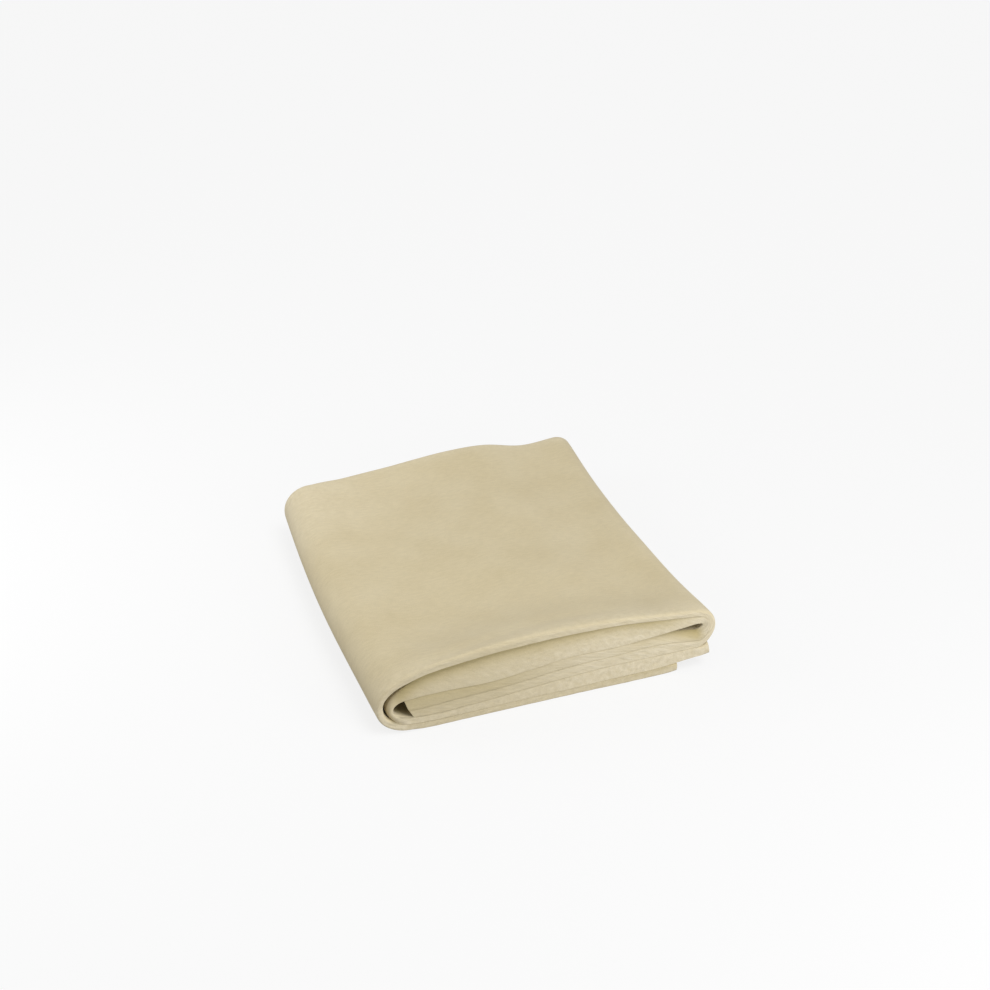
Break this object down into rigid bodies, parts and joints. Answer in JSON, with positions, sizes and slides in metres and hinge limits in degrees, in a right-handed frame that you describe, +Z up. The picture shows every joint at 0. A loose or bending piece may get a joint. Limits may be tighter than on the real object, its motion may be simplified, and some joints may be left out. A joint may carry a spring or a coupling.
{
  "type": "folded chamois leather",
  "caption": "Soft cream drying leather, folded lengthwise and wound in three into a flat shelf bundle that opens like a book.",
  "frame": {"origin": "middle of the bundle's outline, on the surface that it lies on", "axes": "+X from the left turn to the right turn along the front edge, +Y from the soft front folds to the back fold, +Z up out of the top panel"},
  "size_m": [0.1612, 0.175, 0.0365],
  "materials": {
    "chamois": "soft buff suede with a short fuzzy nap, matt, cream"
  },
  "bodies": {
    "base": {"bottom_panel_outer_leaf": "chamois", "bottom_panel_inner_leaf": "chamois", "bottom_panel_back_fold": "chamois", "left_turn_lower_outer_leaf": "chamois", "left_turn_lower_inner_leaf": "chamois", "left_turn_lower_back_fold": "chamois"},
    "wing": {"left_turn_upper_outer_leaf": "chamois", "left_turn_upper_inner_leaf": "chamois", "left_turn_upper_back_fold": "chamois", "top_panel_outer_leaf": "chamois", "top_panel_inner_leaf": "chamois", "top_panel_back_fold": "chamois", "right_turn_outer_leaf": "chamois", "right_turn_inner_leaf": "chamois", "right_turn_back_fold": "chamois", "tucked_panel_outer_leaf": "chamois", "tucked_panel_inner_leaf": "chamois", "tucked_panel_back_fold": "chamois"}
  },
  "joints": [
    {"name": "left_fold", "type": "hinge", "parent": "base", "child": "wing", "pos_m": [-0.08065, 0, 0.0183], "axis": [0, -1, 0], "range_deg": [0, 175]}
  ]
}
